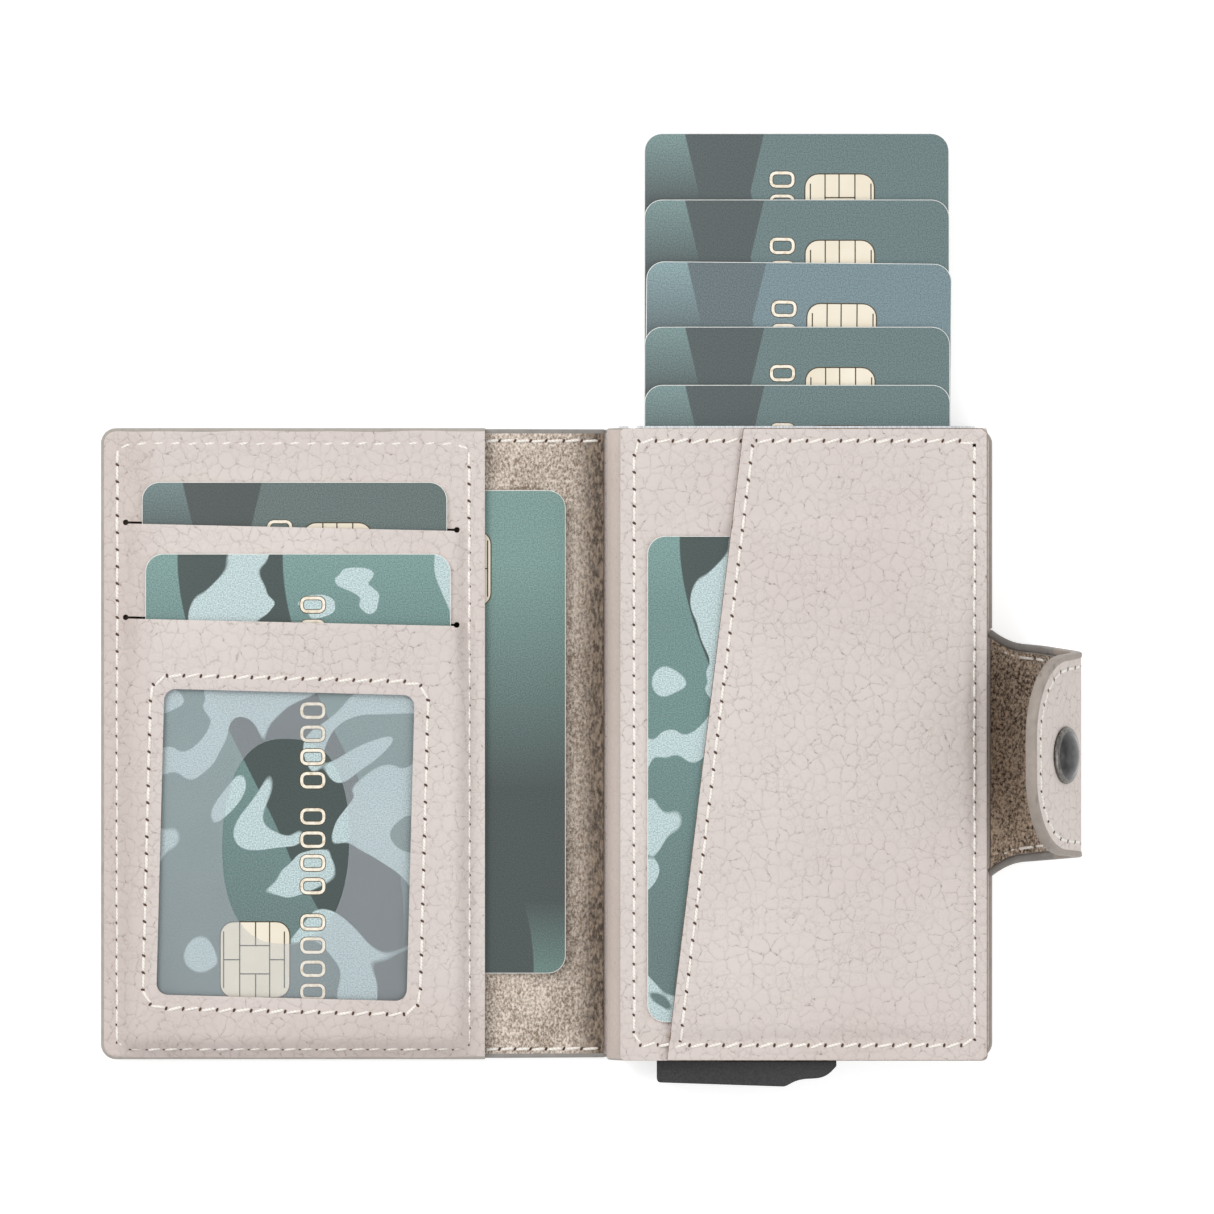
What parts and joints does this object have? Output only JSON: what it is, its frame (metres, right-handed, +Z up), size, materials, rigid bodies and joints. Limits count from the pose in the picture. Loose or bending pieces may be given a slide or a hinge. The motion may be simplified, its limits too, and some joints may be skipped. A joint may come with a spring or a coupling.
{
  "type": "pop-up card holder",
  "caption": "Leather wallet lying open: a card case whose lever fans out its cards, a front cover with card slits and a window, and a snap strap.",
  "frame": {"origin": "centre of the underside of the card case, on the jacket's outer face", "axes": "+X from the front cover towards the strap, +Y towards the card mouth, +Z up, away from the surface it lies on"},
  "size_m": [0.1727, 0.1685, 0.0332],
  "materials": {
    "jacket_leather": "pebble grain, matt",
    "lining_suede": "suede nap",
    "edge_paint": "painted cut edge",
    "thread": "waxed thread",
    "case_aluminium": "fine brushed",
    "black_plastic": "moulded, fine spark texture",
    "pin_steel": "turned",
    "grip_felt": "felt",
    "window_film": "milky translucent film",
    "snap_gunmetal": "dark gunmetal plate",
    "card_plastic": "printed, satin laminate",
    "card_plastic_blue": "printed, satin laminate",
    "chip_contacts": "gold plated contacts"
  },
  "bodies": {
    "card_block": {"jacket_back": "jacket_leather", "case_wrap": "jacket_leather", "card_case": "case_aluminium", "pivot_pin": "pin_steel", "base_stop": "black_plastic", "base_insert": "black_plastic", "card_grip_left": "grip_felt", "card_grip_right": "grip_felt", "top_panel": "jacket_leather", "diagonal_pocket": "jacket_leather"},
    "lever": {"eject_lever": "black_plastic"},
    "popup_card_1": {"popup_card_1": "card_plastic"},
    "popup_card_2": {"popup_card_2": "card_plastic"},
    "popup_card_3": {"popup_card_3": "card_plastic_blue"},
    "popup_card_4": {"popup_card_4": "card_plastic"},
    "popup_card_5": {"popup_card_5": "card_plastic"},
    "block_pocket_card": {"block_pocket_card": "card_plastic"},
    "spine": {"spine_leather": "jacket_leather", "spine_lining": "lining_suede"},
    "front_cover": {"jacket_front": "jacket_leather", "front_lining": "lining_suede", "slot_backing": "lining_suede", "pocket_panel": "jacket_leather", "window_film": "window_film", "snap_stud": "snap_gunmetal", "stud_washer": "pin_steel"},
    "slot_card_upper": {"slot_card_upper": "card_plastic"},
    "slot_card_lower": {"slot_card_lower": "card_plastic"},
    "side_pocket_card": {"side_pocket_card": "card_plastic"},
    "strap_root": {"strap_root_leather": "jacket_leather", "strap_root_lining": "lining_suede"},
    "strap_middle": {"strap_middle_leather": "jacket_leather", "strap_middle_lining": "lining_suede"},
    "strap_tip": {"strap_tip_leather": "jacket_leather", "strap_tip_lining": "lining_suede", "snap_cap": "snap_gunmetal", "snap_socket": "snap_gunmetal"}
  },
  "joints": [
    {"name": "lever_pivot", "type": "hinge", "parent": "card_block", "child": "lever", "pos_m": [-0.022, -0.046, 0.0058], "axis": [0, 0, 1], "range_deg": [-20.1, 0]},
    {"name": "popup_card_1_slide", "type": "slide", "parent": "card_block", "child": "popup_card_1", "axis": [0, 1, 0], "range_m": [-0.0105, 0]},
    {"name": "popup_card_2_slide", "type": "slide", "parent": "card_block", "child": "popup_card_2", "axis": [0, 1, 0], "range_m": [-0.0208, 0]},
    {"name": "popup_card_3_slide", "type": "slide", "parent": "card_block", "child": "popup_card_3", "axis": [0.0087, 1, 0], "range_m": [-0.0322, 0]},
    {"name": "popup_card_4_slide", "type": "slide", "parent": "card_block", "child": "popup_card_4", "axis": [0, 1, 0], "range_m": [-0.0434, 0]},
    {"name": "popup_card_5_slide", "type": "slide", "parent": "card_block", "child": "popup_card_5", "axis": [0, 1, 0], "range_m": [-0.0551, 0]},
    {"name": "block_card_slide", "type": "slide", "parent": "card_block", "child": "block_pocket_card", "axis": [1, 0, 0], "range_m": [-0.06, 0.001]},
    {"name": "spine_fold", "type": "hinge", "parent": "card_block", "child": "spine", "pos_m": [-0.03495, 0, 0.00055], "axis": [0, 1, 0], "range_deg": [0, 85.31]},
    {"name": "cover_fold", "type": "hinge", "parent": "spine", "child": "front_cover", "pos_m": [-0.05386, 0, 0.0021], "axis": [0, 1, 0], "range_deg": [0, 94.7], "deforming": ["spine_leather", "spine_lining"]},
    {"name": "side_card_slide", "type": "slide", "parent": "front_cover", "child": "side_pocket_card", "axis": [1, 0, 0], "range_m": [-0.015, 0]},
    {"name": "upper_card_slide", "type": "slide", "parent": "front_cover", "child": "slot_card_upper", "axis": [0, 1, 0], "range_m": [-0.006, 0.075]},
    {"name": "lower_card_slide", "type": "slide", "parent": "front_cover", "child": "slot_card_lower", "axis": [0, 1, 0], "range_m": [0, 0.07]},
    {"name": "strap_root_fold", "type": "hinge", "parent": "card_block", "child": "strap_root", "pos_m": [0.03555, -0.0017, 0.00055], "axis": [0, -1, 0], "range_deg": [0, 90]},
    {"name": "strap_middle_fold", "type": "hinge", "parent": "strap_root", "child": "strap_middle", "pos_m": [0.04255, -0.0017, 0.00055], "axis": [0, -1, 0], "range_deg": [-65.01, 0]},
    {"name": "strap_tip_fold", "type": "hinge", "parent": "strap_middle", "child": "strap_tip", "pos_m": [0.0492, -0.0017, 0.01482], "axis": [0, -1, 0], "range_deg": [0, 37.01]}
  ],
  "couplings": [
    {"joint": "popup_card_1_slide", "follows": "popup_card_5_slide", "ratio": 0.18875},
    {"joint": "popup_card_2_slide", "follows": "popup_card_5_slide", "ratio": 0.37568},
    {"joint": "popup_card_3_slide", "follows": "popup_card_5_slide", "ratio": 0.58258},
    {"joint": "popup_card_4_slide", "follows": "popup_card_5_slide", "ratio": 0.78584},
    {"joint": "lever_pivot", "follows": "popup_card_5_slide", "rad_per_m": 6.3351},
    {"joint": "cover_fold", "follows": "spine_fold", "ratio": 1.1099},
    {"joint": "side_card_slide", "follows": "spine_fold", "m_per_rad": -0.010007},
    {"joint": "strap_middle_fold", "follows": "strap_root_fold", "ratio": -0.72222},
    {"joint": "strap_tip_fold", "follows": "strap_root_fold", "ratio": 0.41111}
  ]
}
